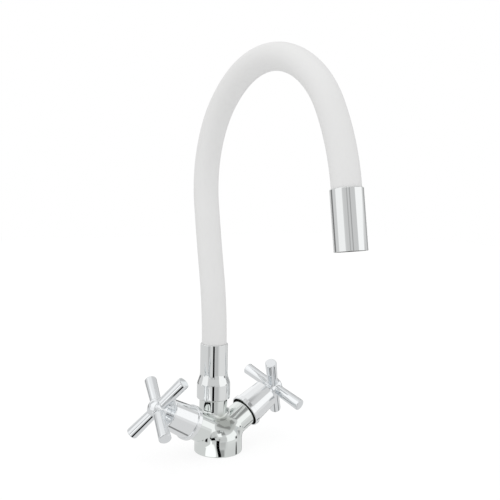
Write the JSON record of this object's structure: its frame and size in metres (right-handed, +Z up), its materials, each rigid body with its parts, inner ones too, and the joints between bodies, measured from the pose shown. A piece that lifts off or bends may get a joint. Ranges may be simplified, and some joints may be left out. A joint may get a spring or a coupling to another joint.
{
  "type": "mixer tap",
  "caption": "Two-handle deck-mounted kitchen mixer tap with chromed cross handles and a white silicone-covered gooseneck spout that bends, holds its shape and swivels.",
  "frame": {"origin": "centre of the base's underside, on the deck", "axes": "+Z up out of the deck, -Y towards the user and the spout's end, -X the hot side"},
  "size_m": [0.1769, 0.2208, 0.3772],
  "materials": {
    "chrome": "bright polished chrome plate",
    "brass": "machined",
    "steel": "bright drawn",
    "white_silicone": "smooth satin silicone",
    "black_rubber": "matt",
    "hose_rubber": "matt",
    "ceramic": "lapped",
    "nylon": "satin",
    "black_plastic": "satin",
    "mesh_steel": "woven"
  },
  "bodies": {
    "tap_body": {"body": "chrome", "base_gasket": "black_rubber", "hot_seat_seal": "black_rubber", "hot_fixed_disc": "ceramic", "hot_bonnet": "brass", "hot_bonnet_gasket": "black_rubber", "cold_seat_seal": "black_rubber", "cold_fixed_disc": "ceramic", "cold_bonnet": "brass", "cold_bonnet_gasket": "black_rubber", "spout_slide_ring": "nylon", "spout_grub_screw": "steel"},
    "hot_handle": {"hot_moving_disc": "ceramic", "hot_spindle": "brass", "hot_spindle_o_rings": "black_rubber", "hot_circlip": "steel", "hot_handle_cross": "chrome", "hot_handle_skirt": "chrome", "hot_handle_screw": "steel", "hot_handle_cap": "chrome"},
    "cold_handle": {"cold_moving_disc": "ceramic", "cold_spindle": "brass", "cold_spindle_o_rings": "black_rubber", "cold_circlip": "steel", "cold_handle_cross": "chrome", "cold_handle_skirt": "chrome", "cold_handle_screw": "steel", "cold_handle_cap": "chrome"},
    "spout_foot": {"spout_ferrule": "chrome", "spout_spigot": "brass", "spigot_o_rings": "black_rubber", "sleeve_1": "white_silicone", "coil_1": "steel", "inner_hose_1": "hose_rubber"},
    "neck_2": {"sleeve_2": "white_silicone", "coil_2": "steel", "inner_hose_2": "hose_rubber"},
    "neck_3": {"sleeve_3": "white_silicone", "coil_3": "steel", "inner_hose_3": "hose_rubber"},
    "neck_4": {"sleeve_4": "white_silicone", "coil_4": "steel", "inner_hose_4": "hose_rubber"},
    "neck_5": {"sleeve_5": "white_silicone", "coil_5": "steel", "inner_hose_5": "hose_rubber"},
    "neck_6": {"sleeve_6": "white_silicone", "coil_6": "steel", "inner_hose_6": "hose_rubber"},
    "spout_head": {"sleeve_7": "white_silicone", "coil_7": "steel", "inner_hose_7": "hose_rubber", "nozzle_shell": "chrome", "hose_insert": "brass", "aerator_washer": "black_rubber", "aerator_housing": "black_plastic", "aerator_meshes": "mesh_steel", "aerator_cartridge": "black_plastic"}
  },
  "joints": [
    {"name": "hot_handle_turn", "type": "hinge", "parent": "tap_body", "child": "hot_handle", "pos_m": [-0.06822, 0, 0.05232], "axis": [-0.8746, 0, 0.4848], "range_deg": [0, 90]},
    {"name": "cold_handle_turn", "type": "hinge", "parent": "tap_body", "child": "cold_handle", "pos_m": [0.06822, 0, 0.05232], "axis": [0.8746, 0, 0.4848], "range_deg": [-90, 0]},
    {"name": "spout_swivel", "type": "hinge", "parent": "tap_body", "child": "spout_foot", "pos_m": [0, 0.009, 0.0498], "axis": [0, 0, 1], "continuous": true},
    {"name": "neck_bend_1", "type": "hinge", "parent": "spout_foot", "child": "neck_2", "pos_m": [0, 0.01491, 0.17056], "axis": [1, 0, 0], "range_deg": [-20, 20]},
    {"name": "neck_side_2", "type": "hinge", "parent": "neck_2", "child": "neck_3", "pos_m": [0, 0.02553, 0.23762], "axis": [0, 0.9903, -0.1392], "range_deg": [-20, 20]},
    {"name": "neck_bend_3", "type": "hinge", "parent": "neck_3", "child": "neck_4", "pos_m": [0, 0.01735, 0.30424], "axis": [1, 0, 0], "range_deg": [-20, 20]},
    {"name": "neck_side_4", "type": "hinge", "parent": "neck_4", "child": "neck_5", "pos_m": [0, -0.02638, 0.35455], "axis": [0, 0.5, 0.866], "range_deg": [-20, 20]},
    {"name": "neck_bend_5", "type": "hinge", "parent": "neck_5", "child": "neck_6", "pos_m": [0, -0.09193, 0.36086], "axis": [1, 0, 0], "range_deg": [-20, 20]},
    {"name": "neck_side_6", "type": "hinge", "parent": "neck_6", "child": "spout_head", "pos_m": [0, -0.14192, 0.3174], "axis": [0, -0.891, 0.454], "range_deg": [-20, 20]}
  ]
}
